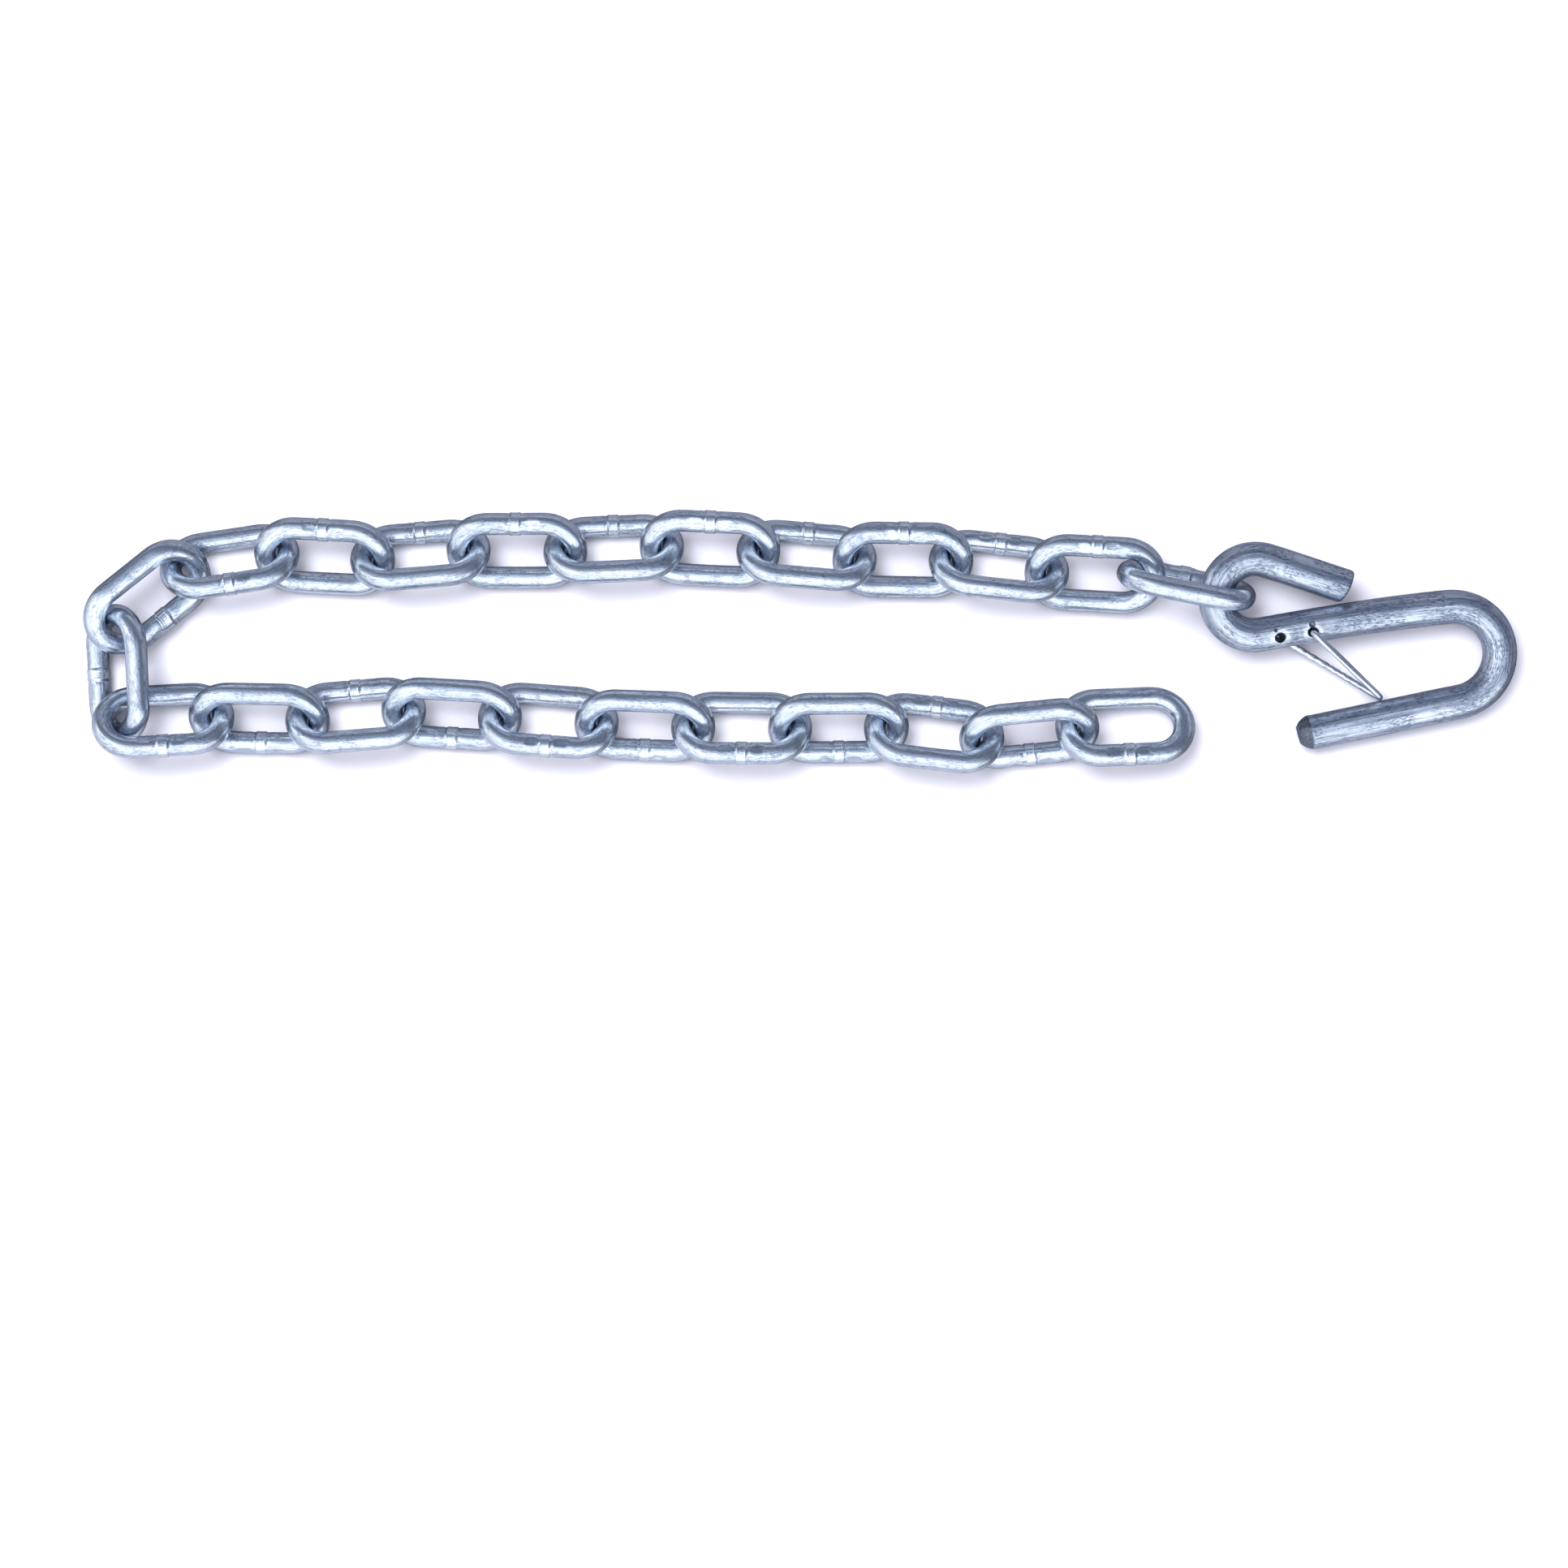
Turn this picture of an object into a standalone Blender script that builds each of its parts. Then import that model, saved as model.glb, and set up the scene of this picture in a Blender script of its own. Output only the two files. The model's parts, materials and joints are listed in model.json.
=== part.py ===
"""Safety chain with slip hook and spring wire latch, laid out in a hairpin.

One round-bar hook, its spring wire latch and 24 welded chain links, each link
a separate solid hooked through the next.  The chain lies on the plane Z = 0:
from the hook, at the +X end, it runs along -X, turns back on itself and runs
along +X to a free end link.  The scene is in metres, +Z up, with its origin at
the centre of the footprint; the script works in millimetres and degrees.
"""
import math
from collections import namedtuple

import bmesh
import bpy
import numpy as np
from mathutils import Matrix, Vector

MM = 0.001

# ---------------------------------------------------------------- chain link
WIRE_D = 7.1
WIRE_R = WIRE_D / 2
LINK_INSIDE = 31.5           # inside length of a link, its pitch when pulled tight
BEND_R = 10.1                # centreline radius of a link's crown, its rounded end
LINK_HALF = LINK_INSIDE / 2 + WIRE_R          # link centre to crown centreline
STRAIGHT = 2 * (LINK_HALF - BEND_R)           # straight part of each side
LINK_SIDES = 10              # flats around the wire
CROWN_STEPS = 7              # steps around each crown, odd so a flat sits mid-crown
WELD_SWELL = 1.05            # radius of the butt weld's upset ring, over the wire's
WELD_HALF = 1.1              # half length of the upset ring at full swell
WELD_REACH = 1.9             # half length of the ring where it meets the plain wire
# (place along the side from mid-length, radius over the wire's)
WELD_PROFILE = ((-WELD_REACH, 1.0), (-WELD_HALF, WELD_SWELL),
                (WELD_HALF, WELD_SWELL), (WELD_REACH, 1.0))

# ---------------------------------------------------------------------- hook
BAR_D = 11.1
EYE_R = 12.4                 # centreline radius of the chain eye
BOW_R = 15.65                # centreline radius of the hook's bow
EYE_END = 27.9               # straight end that closes the eye
SHANK = 61.6                 # length of the slightly bowed shank
POINT = 53.4                 # straight point leg
EYE_TURN = 208.6             # turn around the eye
SHANK_BOW = 4.5              # turn of the shank over its length
BOW_TURN = 174.5             # turn around the bow
SHANK_R = SHANK / math.radians(SHANK_BOW)
SHEAR = 1.2                  # bevel on the sheared end that closes the eye
POINT_TAPER = 3.8            # length of the blunt taper on the point
POINT_END_R = 3.2            # bar radius at the very tip of the point
BAR_SIDES = 16
EYE_STEPS = 13
SHANK_STEPS = 4
BOW_STEPS = 13
EYE_FIRST = 2                # station where the eye's arc starts

HOLE_D = 3.0                 # the two holes drilled through the shank
HOLE_REAR = 5.6              # along the shank, from the end of the eye arc
HOLE_FRONT = 16.3
HOLE_OFF = 1.7               # off the bar's centre, towards the throat
CUTTER_LEN = 16.0
CUTTER_SIDES = 14

# --------------------------------------------------------------------- latch
LATCH_D = 2.0                # spring wire
LATCH_SIDES = 8
LEG_HEIGHT = 6.75            # each leg off the hook's plane, beside the bar
LEG_LEAD = 0.2               # start of each leg past its hole's centre
LEG_EASE = 1.7               # power of the legs' curve from the bar in to the nose
LEG_STEPS = 8
NOSE_R = 1.9                 # half width of the nose, across the hook's plane
NOSE_SPLIT = 0.35            # each leg's sideways shift at the nose
NOSE_STEPS = 6
LATCH_LEN = 35.2             # pivot to the tip of the nose's centreline
LATCH_REST = -46.0           # leg direction measured from the shank at the holes
END_HEIGHTS = (5.3, 0.5, -3.6)   # stations of each pressed-in end, its own face up

# -------------------------------------------------------------------- layout
# Centre of the bow, and the way the hook's flat side leans: the shank side
# rides up and the point side lies low.
HOOK_AT = np.array([216.3, 41.9, 7.99])
SHANK_YAW = 10.5             # heading of the shank where it leaves the eye
LEAN = 8.9                   # slope of the hook's plane, up towards the shank side
LEAN_YAW = 101.5             # heading of that slope
EYE_ARC_AT = 170.0           # where around the eye the first link pulls

# Each link's heading in plan, its roll about its own length, and the side its
# weld is on.  Neighbours roll opposite ways, as a chain does on a table.
LINKS = [
    (168.9, 73.0, -1), (177.0, -33.0, -1), (173.6, 40.5, -1), (179.2, -34.0, -1),
    (175.0, 41.0, -1), (177.4, -35.0, -1), (182.4, 40.0, -1), (180.2, -35.0, -1),
    (184.8, 40.5, -1), (177.2, -35.0, -1), (188.6, 40.5, 1), (219.5, -36.0, 1),
    (272.0, 42.0, -1), (3.5, -35.0, -1), (359.0, 40.0, -1), (4.6, -36.0, 1),
    (356.8, 40.5, -1), (355.8, -35.5, -1), (358.0, 40.0, -1), (359.4, -35.5, -1),
    (0.6, 40.0, -1), (353.4, -33.0, 1), (5.8, 48.0, -1), (2.6, -26.0, -1),
]
# Height changes by index in LINKS, which counts from 0.
SAG = {1: -2.3, 12: -1.4, 13: 4.3}   # near crown under or over the crown it hangs in
LIFT = {11: 3.6, 12: -0.7}           # far crown, and the crown hung in it
FIRST_CROWN_Z = 13.35        # height of the first link's crown in the eye
TABLE_GAP = 0.02             # daylight between a resting link and the table
GAP = 0.16                   # daylight between two wires that touch in use

# Search for the place where a crown just clears the wire it hangs in.
HALF_LINE_STEPS = 22         # steps around a crown's centreline
SEARCH_FROM = 0.55           # first and last slide, over the clearance wanted
SEARCH_TO = 2.2
SEARCH_STEP = 0.4
HALVINGS = 12
SHARP_BEND = 8.0             # from this bend on, the slide direction is sought wider
REACH_STRAIGHT = 20          # directions tried each side of the mean
REACH_BEND = 70
REACH_STEP = 10

# A link's centre, and unit vectors along, across and square to its flat side.
Frame = namedtuple('Frame', 'centre along width normal')


# ================================================================== geometry
def unit(v):
    return v / np.linalg.norm(v)


def heading(yaw, rise=0.0):
    """Unit vector with a plan heading and a climb, both in degrees."""
    a, b = math.radians(yaw), math.radians(rise)
    return np.array([math.cos(a) * math.cos(b), math.sin(a) * math.cos(b),
                     math.sin(b)])


def flat_heading(yaw):
    """Unit vector in the plane, for a heading in degrees."""
    return heading(yaw)[:2]


def nearest(points, line):
    """Least distance between the points and an open polyline."""
    start, step = line[:-1], line[1:] - line[:-1]
    t = np.einsum('ijk,jk->ij', points[:, None, :] - start[None], step)
    t = np.clip(t / np.einsum('jk,jk->j', step, step), 0, 1)
    foot = start[None] + t[:, :, None] * step[None]
    return float(np.sqrt(((points[:, None, :] - foot) ** 2).sum(axis=2)).min())


def distance(line_a, line_b):
    return min(nearest(line_a, line_b), nearest(line_b, line_a))


# ================================================================ hook's plane
def hook_axes():
    """X, Y and normal axes of the hook's leaning plane."""
    slope, yaw = math.tan(math.radians(LEAN)), math.radians(LEAN_YAW)
    normal = unit(np.array([-slope * math.cos(yaw), -slope * math.sin(yaw), 1.0]))
    x = np.array([1.0, 0.0, 0.0])
    x = unit(x - normal * x.dot(normal))
    return x, np.cross(normal, x), normal


HOOK_X, HOOK_Y, HOOK_N = hook_axes()

# In the hook's plane, with the bow's centre at the origin.
BOW_START_YAW = SHANK_YAW - SHANK_BOW
SHANK_HUB = (BOW_R * flat_heading(BOW_START_YAW + 90)
             + SHANK_R * flat_heading(BOW_START_YAW - 90))
SHANK_START = SHANK_HUB - SHANK_R * flat_heading(SHANK_YAW - 90)
EYE_HUB = SHANK_START + EYE_R * flat_heading(SHANK_YAW + 90)


def on_hook(point, height=0.0):
    """Layout position of a point of the hook's plane, raised off that plane."""
    return HOOK_AT + HOOK_X * point[0] + HOOK_Y * point[1] + HOOK_N * height


def eye_pull():
    """Point of the eye's centreline where the first link pulls."""
    return on_hook(EYE_HUB + EYE_R * flat_heading(EYE_ARC_AT))


def shank_point(along, off):
    """Point along the shank from the eye arc, off towards the throat; heading."""
    yaw = SHANK_YAW - SHANK_BOW * along / SHANK
    return SHANK_HUB - (SHANK_R - off) * flat_heading(yaw - 90), yaw


def trace_bar(start, yaw, moves):
    """Centreline stations (point, heading) of a planar bar.

    A move is ('line', length) or ('arc', radius, turn, steps); a turn to the
    left is positive.
    """
    point = np.array(start, float)
    stations = [(point.copy(), yaw)]
    for kind, *sizes in moves:
        if kind == 'line':
            point = point + sizes[0] * flat_heading(yaw)
            stations.append((point.copy(), yaw))
        else:
            radius, turn, steps = sizes
            side = math.copysign(90.0, turn)
            hub = point + radius * flat_heading(yaw + side)
            for i in range(1, steps + 1):
                at_yaw = yaw + turn * i / steps
                stations.append((hub - radius * flat_heading(at_yaw + side), at_yaw))
            point = stations[-1][0].copy()
            yaw += turn
    return stations


def hook_stations():
    """Stations of the hook from the sheared end, around the eye, to the point."""
    yaw = SHANK_YAW - EYE_TURN
    eye_start = EYE_HUB - EYE_R * flat_heading(yaw + 90)
    return trace_bar(eye_start - EYE_END * flat_heading(yaw), yaw, [
        ('line', SHEAR),
        ('line', EYE_END - SHEAR),
        ('arc', EYE_R, EYE_TURN, EYE_STEPS),
        ('arc', SHANK_R, -SHANK_BOW, SHANK_STEPS),
        ('arc', BOW_R, -BOW_TURN, BOW_STEPS),
        ('line', POINT - POINT_TAPER),
        ('line', POINT_TAPER)])


# ============================================================== chain's layout
def link_frame(centre, along, roll):
    side = unit(np.cross((0.0, 0.0, 1.0), along))
    up = np.cross(along, side)
    r = math.radians(roll)
    width = side * math.cos(r) + up * math.sin(r)
    return Frame(centre, along, width, np.cross(along, width))


def half_line(frame, sign):
    """Centreline of one half of a link: a crown and both sides to mid-length."""
    centre, along, width, _ = frame
    hub = centre + along * (sign * STRAIGHT / 2)
    midway = hub - (hub - centre) * 0.5
    across = width * BEND_R
    points = [centre - across, midway - across]
    for i in range(HALF_LINE_STEPS + 1):
        a = math.pi * (i / HALF_LINE_STEPS - 0.5)
        points.append(hub + along * (sign * BEND_R * math.cos(a))
                      + width * (BEND_R * math.sin(a)))
    points += [midway + across, centre + across]
    return np.array(points)


def hang(base, other, want, link, crown_heights, slide_yaw):
    """Slide a link from base until its near crown just clears the other line.

    Returns the slide and the link's frame, or None where it never clears.
    """
    yaw, roll = link
    near_z, far_z = crown_heights
    rise = math.degrees(math.asin((far_z - near_z) / (2 * LINK_HALF)))
    along = heading(yaw, rise)
    way = heading(slide_yaw)

    def frame_at(slide):
        crown = np.array([*(base + way * slide)[:2], near_z])
        return link_frame(crown + along * LINK_HALF, along, roll)

    def too_close(slide):
        return distance(half_line(frame_at(slide), -1), other) < want

    slide = want * SEARCH_FROM
    while too_close(slide):
        slide += SEARCH_STEP
        if slide > SEARCH_TO * want:
            return None
    low, high = slide - SEARCH_STEP, slide
    for _ in range(HALVINGS):
        middle = (low + high) / 2
        if too_close(middle):
            low = middle
        else:
            high = middle
    return high, frame_at(high)


def crown_heights():
    """Height of each link's near and far crown."""
    rest = [BEND_R * abs(math.sin(math.radians(roll))) + WIRE_R + TABLE_GAP
            for _, roll, _ in LINKS]
    joints = [FIRST_CROWN_Z, *map(max, rest, rest[1:]), rest[-1]]
    return [(joints[i] + SAG.get(i, 0.0) + LIFT.get(i - 1, 0.0),
             joints[i + 1] + LIFT.get(i, 0.0)) for i in range(len(LINKS))]


def far_crown(frame):
    return frame.centre + frame.along * LINK_HALF


def lay_chain(stations):
    """Frames of the links, each hung in the one before it."""
    frames = []
    heights = crown_heights()
    for i, (yaw, roll, _) in enumerate(LINKS):
        if i == 0:
            base = eye_pull()
            # the eye's arc and the first step of the shank
            eye = stations[EYE_FIRST:EYE_FIRST + EYE_STEPS + 2]
            other = np.array([on_hook(point) for point, _ in eye])
            want = (BAR_D + WIRE_D) / 2 + GAP
            slide_yaws = [yaw + 180]
        else:
            base = far_crown(frames[-1])
            other = half_line(frames[-1], 1)
            want = WIRE_D + GAP
            bend = (yaw - LINKS[i - 1][0] + 180) % 360 - 180
            mean = yaw - bend / 2 + 180
            # at a bend the crowns settle to the side: take the place where
            # they sit closest
            reach = REACH_STRAIGHT if abs(bend) < SHARP_BEND else REACH_BEND
            slide_yaws = [mean + a for a in range(-reach, reach + 1, REACH_STEP)]
        found = [hang(base, other, want, (yaw, roll), heights[i], slide_yaw)
                 for slide_yaw in slide_yaws]
        frames.append(min(filter(None, found), key=lambda place: place[0])[1])
    return frames


# ======================================================================= rings
def ring(centre, out, normal, radius, sides):
    """A polygon around the wire; one flat faces out, one faces in."""
    angles = [2 * math.pi * (i + 0.5) / sides for i in range(sides)]
    return np.array([centre + (out * math.cos(a) + normal * math.sin(a)) * radius
                     for a in angles])


def crown_rings(frame, sign):
    centre, along, width, normal = frame
    hub = centre + along * (sign * STRAIGHT / 2)
    rings = []
    for i in range(CROWN_STEPS + 1):
        a = math.pi * (i / CROWN_STEPS - 0.5)
        out = (along * math.cos(a) + width * math.sin(a)) * sign
        rings.append(ring(hub + out * BEND_R, out, normal, WIRE_R, LINK_SIDES))
    return rings


def weld_rings(frame, side):
    """Upset ring at mid-side; side +1 is walked against along, -1 with it."""
    centre, along, width, normal = frame
    return [ring(centre + width * (side * BEND_R) - along * (side * place),
                 width * side, normal, WIRE_R * swell, LINK_SIDES)
            for place, swell in WELD_PROFILE]


def link_rings(frame, weld_side):
    """Rings around a link: crown, side, crown, other side; one side is welded."""
    rings = crown_rings(frame, 1)
    if weld_side > 0:
        rings += weld_rings(frame, 1)
    rings += crown_rings(frame, -1)
    if weld_side < 0:
        rings += weld_rings(frame, -1)
    return rings


def hook_rings(stations):
    radii = [BAR_D / 2] * len(stations)
    radii[0] -= SHEAR
    radii[-1] = POINT_END_R
    rings = []
    for (point, yaw), radius in zip(stations, radii):
        side = flat_heading(yaw + 90)
        out = HOOK_X * side[0] + HOOK_Y * side[1]
        rings.append(ring(on_hook(point), out, HOOK_N, radius, BAR_SIDES))
    return rings


def latch_rings(points, first_side):
    """Rings along a path of latch wire, carried without twist."""
    rings = []
    side = first_side
    for i, point in enumerate(points):
        before = points[max(i - 1, 0)]
        after = points[min(i + 1, len(points) - 1)]
        along = unit(after - before)
        side = unit(side - along * side.dot(along))
        rings.append(ring(point, side, np.cross(along, side), LATCH_D / 2, LATCH_SIDES))
    return rings


# ====================================================================== pieces
def metal(name, colour, roughness):
    material = bpy.data.materials.new(name)
    material.use_nodes = True
    inputs = material.node_tree.nodes['Principled BSDF'].inputs
    inputs['Base Color'].default_value = (*colour, 1.0)
    inputs['Metallic'].default_value = 1.0
    inputs['Roughness'].default_value = roughness
    return material


def swept_mesh(name, rings, closed):
    """A swept solid through rings in millimetres, capped at its ends if open."""
    bm = bmesh.new()
    rows = [[bm.verts.new(Vector(p * MM)) for p in points] for points in rings]
    pairs = list(zip(rows, rows[1:]))
    if closed:
        pairs.append((rows[-1], rows[0]))
    for a, b in pairs:
        for j in range(len(a)):
            k = (j + 1) % len(a)
            bm.faces.new((a[j], b[j], b[k], a[k]))
    if not closed:
        bm.faces.new(rows[0])
        bm.faces.new(list(reversed(rows[-1])))
    bmesh.ops.recalc_face_normals(bm, faces=bm.faces)
    if bm.calc_volume(signed=True) < 0:
        bmesh.ops.reverse_faces(bm, faces=bm.faces)
    mesh = bpy.data.meshes.new(name)
    bm.to_mesh(mesh)
    bm.free()
    return mesh


def add_piece(name, rings, origin, shift, material, closed=False, parent=None):
    """A swept object with its origin on a layout point, moved back by shift."""
    mesh = swept_mesh(name, [points - shift for points in rings], closed)
    mesh.materials.append(material)
    mesh.shade_smooth()
    mesh.set_sharp_from_angle(angle=math.radians(50))
    at = Vector((origin - shift) * MM)
    mesh.transform(Matrix.Translation(-at))
    obj = bpy.data.objects.new(name, mesh)
    bpy.context.scene.collection.objects.link(obj)
    obj.location = at
    if parent is not None:
        bpy.context.view_layer.update()
        obj.parent = parent
        obj.matrix_parent_inverse = parent.matrix_world.inverted()
    return obj


def drill(hook, name, at, shift):
    """Cut a round hole through the shank, square to the hook's plane."""
    bpy.ops.mesh.primitive_cylinder_add(vertices=CUTTER_SIDES, radius=HOLE_D / 2 * MM,
                                        depth=CUTTER_LEN * MM)
    cutter = bpy.context.object
    cutter.name = name
    turn = Matrix((HOOK_X, HOOK_Y, HOOK_N)).transposed().to_4x4()
    cutter.matrix_world = Matrix.Translation(Vector((on_hook(at) - shift) * MM)) @ turn
    cutter.hide_render = True
    cutter.display_type = 'WIRE'
    cut = hook.modifiers.new(name, 'BOOLEAN')
    cut.operation = 'DIFFERENCE'
    cut.solver = 'EXACT'
    cut.object = cutter


def build_hook(rings, rear, front, shift):
    """One bent bar, with two holes drilled through its shank."""
    zinc_bar = metal('zinc_bar', colour=(0.62, 0.66, 0.73), roughness=0.34)
    hook = add_piece('hook', rings, HOOK_AT, shift, zinc_bar)
    drill(hook, 'hole_rear', rear, shift)
    drill(hook, 'hole_front', front, shift)
    return hook


def latch_path(pivot, rear, front, yaw):
    """Centreline of the latch wire: front leg, half turn at the nose, rear leg."""
    way, across = flat_heading(yaw), flat_heading(yaw + 90)
    nose = pivot + way * (LATCH_LEN - NOSE_R)

    def leg(hole, side):
        """From a hole to the nose; side +1 is the hook's upper face."""
        start, end = hole + way * LEG_LEAD, nose + across * (side * NOSE_SPLIT)
        points = []
        for i in range(LEG_STEPS + 1):
            t = i / LEG_STEPS
            height = LEG_HEIGHT + (NOSE_R - LEG_HEIGHT) * t ** LEG_EASE
            points.append(on_hook(start + (end - start) * t, side * height))
        return points

    path = leg(front, 1)
    for i in range(1, NOSE_STEPS):
        t = i / NOSE_STEPS
        point = (nose + way * (NOSE_R * math.sin(math.pi * t))
                 + across * (NOSE_SPLIT * (1 - 2 * t)))
        path.append(on_hook(point, NOSE_R * math.cos(math.pi * t)))
    return path + leg(rear, -1)[::-1]


def build_latch(hook, rear, front, yaw, shift):
    """A bent spring wire that turns about the middle of the two holes."""
    spring = metal('spring_wire', colour=(0.60, 0.65, 0.74), roughness=0.22)
    pivot = (rear + front) / 2
    hub = bpy.data.objects.new('latch_pivot', None)
    hub.empty_display_size = 0.01
    hub.location = Vector((on_hook(pivot) - shift) * MM)
    bpy.context.scene.collection.objects.link(hub)
    path = latch_path(pivot, rear, front, yaw)
    add_piece('latch_wire', latch_rings(path, HOOK_N), on_hook(pivot), shift, spring,
              parent=hub)
    # its two ends, pressed into the holes from opposite faces
    for name, hole, face in (('latch_end_front', front, 1), ('latch_end_rear', rear, -1)):
        line = [on_hook(hole, face * height) for height in END_HEIGHTS]
        add_piece(name, latch_rings(line, HOOK_X), on_hook(hole), shift, spring,
                  parent=hook)


def build_links(frames, ring_sets, shift):
    """Links with their origins in the crown wire of the piece they hang in."""
    zinc_link = metal('zinc_link', colour=(0.70, 0.75, 0.83), roughness=0.26)
    origins = [eye_pull()] + [far_crown(frame) for frame in frames[:-1]]
    # the second link turns about its own near crown wire instead
    origins[1] = frames[1].centre - frames[1].along * LINK_HALF
    for i, (rings, origin) in enumerate(zip(ring_sets, origins)):
        add_piece('link_%02d' % (i + 1), rings, origin, shift, zinc_link, closed=True)


def footprint_shift(rings):
    """Layout point that becomes the origin: footprint centre, lowest height."""
    points = np.vstack(rings)
    low, high = points.min(axis=0), points.max(axis=0)
    return np.array([(low[0] + high[0]) / 2, (low[1] + high[1]) / 2, low[2]])


def build():
    for obj in list(bpy.data.objects):
        bpy.data.objects.remove(obj, do_unlink=True)
    bpy.context.scene.unit_settings.system = 'METRIC'

    stations = hook_stations()
    frames = lay_chain(stations)
    bar = hook_rings(stations)
    chain = [link_rings(frame, side) for frame, (_, _, side) in zip(frames, LINKS)]
    shift = footprint_shift(bar + sum(chain, []))

    rear, rear_yaw = shank_point(HOLE_REAR, HOLE_OFF)
    front, front_yaw = shank_point(HOLE_FRONT, HOLE_OFF)
    hook = build_hook(bar, rear, front, shift)
    build_latch(hook, rear, front, (rear_yaw + front_yaw) / 2 + LATCH_REST, shift)
    build_links(frames, chain, shift)
    bpy.context.view_layer.update()


build()
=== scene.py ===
"""The look of a bright zinc plated safety chain, its slip hook and wire latch.

Every visible piece is a dense mesh built on the place of its CAD solid: 24
welded links, the bent bar hook with its two drilled holes, and the latch, one
spring wire from hole to hole. The chain lies on a table top just below z = 0
and is seen from above, with +Y up the view; it turns back around links 11 and
12 at its -X end. Shapes are worked out in mm and stored in metres.
"""
import json
import math

import bmesh
import bpy
import numpy as np
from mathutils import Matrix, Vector


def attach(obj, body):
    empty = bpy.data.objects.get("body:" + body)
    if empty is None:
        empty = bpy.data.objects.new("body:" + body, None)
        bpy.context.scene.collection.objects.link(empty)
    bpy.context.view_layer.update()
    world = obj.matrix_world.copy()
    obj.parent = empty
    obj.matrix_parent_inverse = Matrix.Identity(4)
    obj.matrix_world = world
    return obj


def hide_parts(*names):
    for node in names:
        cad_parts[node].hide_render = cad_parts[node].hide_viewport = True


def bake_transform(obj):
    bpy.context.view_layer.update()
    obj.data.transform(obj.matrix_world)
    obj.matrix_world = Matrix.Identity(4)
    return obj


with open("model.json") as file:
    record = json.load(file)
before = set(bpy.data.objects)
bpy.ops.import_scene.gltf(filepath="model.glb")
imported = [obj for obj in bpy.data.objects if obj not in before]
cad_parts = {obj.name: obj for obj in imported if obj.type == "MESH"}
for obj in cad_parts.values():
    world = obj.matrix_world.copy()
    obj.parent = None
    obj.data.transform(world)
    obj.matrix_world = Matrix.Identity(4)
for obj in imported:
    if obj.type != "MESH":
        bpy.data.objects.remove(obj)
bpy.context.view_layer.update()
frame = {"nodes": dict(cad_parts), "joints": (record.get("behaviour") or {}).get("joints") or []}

MM = 0.001
TAU = 2 * math.pi
JOINT = {joint["child"]: joint for joint in frame["joints"]}


# ============================================================ shape helpers
def unit(v):
    v = np.asarray(v, float)
    return v / np.linalg.norm(v, axis=-1, keepdims=True)


def heading(deg):
    """Plan direction at an angle from the plan's first axis."""
    angle = math.radians(deg)
    return np.array([math.cos(angle), math.sin(angle)])


def wrap(x, period):
    """x brought to within half a period of zero."""
    return (x + period / 2) % period - period / 2


def bell(x, width, power=2):
    return np.exp(-(x / width) ** power)


def smooth_step(x, start, end):
    t = np.clip((x - start) / (end - start), 0, 1)
    return t * t * (3 - 2 * t)


def window(x, rise, fall):
    """Zero, then one between the two (start, end) ramps, then zero again."""
    return smooth_step(x, *rise) * (1 - smooth_step(x, *fall))


def ring_angles(sides):
    return TAU * (np.arange(sides) + 0.5) / sides


def uneven(rng, along, total, around, terms, waves, turns, rms):
    """Smooth unevenness of a wire, made of waves along and around it."""
    out = np.zeros(np.broadcast(along, around).shape)
    for _ in range(terms):
        wave = int(rng.integers(waves[0], waves[1] + 1))
        turn = int(rng.integers(turns[0], turns[1] + 1)) * (1 if rng.random() < 0.5 else -1)
        out = out + rng.normal() * np.cos(TAU * wave * along / total + turn * around
                                          + rng.uniform(0, TAU))
    return out * rms / math.sqrt(terms / 2)


def dents(rng, along, total, around, radius, count, size, depth, closed=True):
    """Shallow oval dents knocked into the wire in handling."""
    out = np.zeros(np.broadcast(along, around).shape)
    for _ in range(count):
        at_along, at_around = rng.uniform(0, total), rng.uniform(0, TAU)
        long, wide = rng.uniform(*size), rng.uniform(*size)
        turn = rng.uniform(0, math.pi)
        off_along = along - at_along
        if closed:
            off_along = wrap(off_along, total)
        off_around = wrap(around - at_around, TAU) * radius
        x = off_along * math.cos(turn) + off_around * math.sin(turn)
        y = -off_along * math.sin(turn) + off_around * math.cos(turn)
        out = out - rng.uniform(*depth) * np.exp(-(x / long) ** 2 - (y / wide) ** 2)
    return out


def cut_flat(radius, angle, height):
    """Ring radii cut off by a plane at a height, facing where angle is zero."""
    facing = np.cos(angle)
    plane = height / np.maximum(facing, 0.3)
    return np.where(facing > 0.3, np.minimum(radius, plane), radius)


def spokes(side, other, around):
    """Directions out from a centreline, by ring and by angle around it."""
    return (side[:, None] * np.cos(around)[..., None]
            + other[:, None] * np.sin(around)[..., None])


def distances(points):
    """Distance along a polyline at each of its points."""
    steps = np.linalg.norm(np.diff(points, axis=0), axis=1)
    return np.concatenate([[0], np.cumsum(steps)])


def points_at(where, dist, points):
    return np.stack([np.interp(where, dist, points[:, k]) for k in range(points.shape[1])],
                    axis=-1)


def resample(points, step_at):
    """Points along a polyline with a spacing that depends on the distance."""
    dist = distances(points)
    where = [0.0]
    while where[-1] < dist[-1]:
        where.append(where[-1] + step_at(where[-1]))
    where = np.array(where)
    where *= dist[-1] / where[-1]
    return points_at(where, dist, points), where


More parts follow.
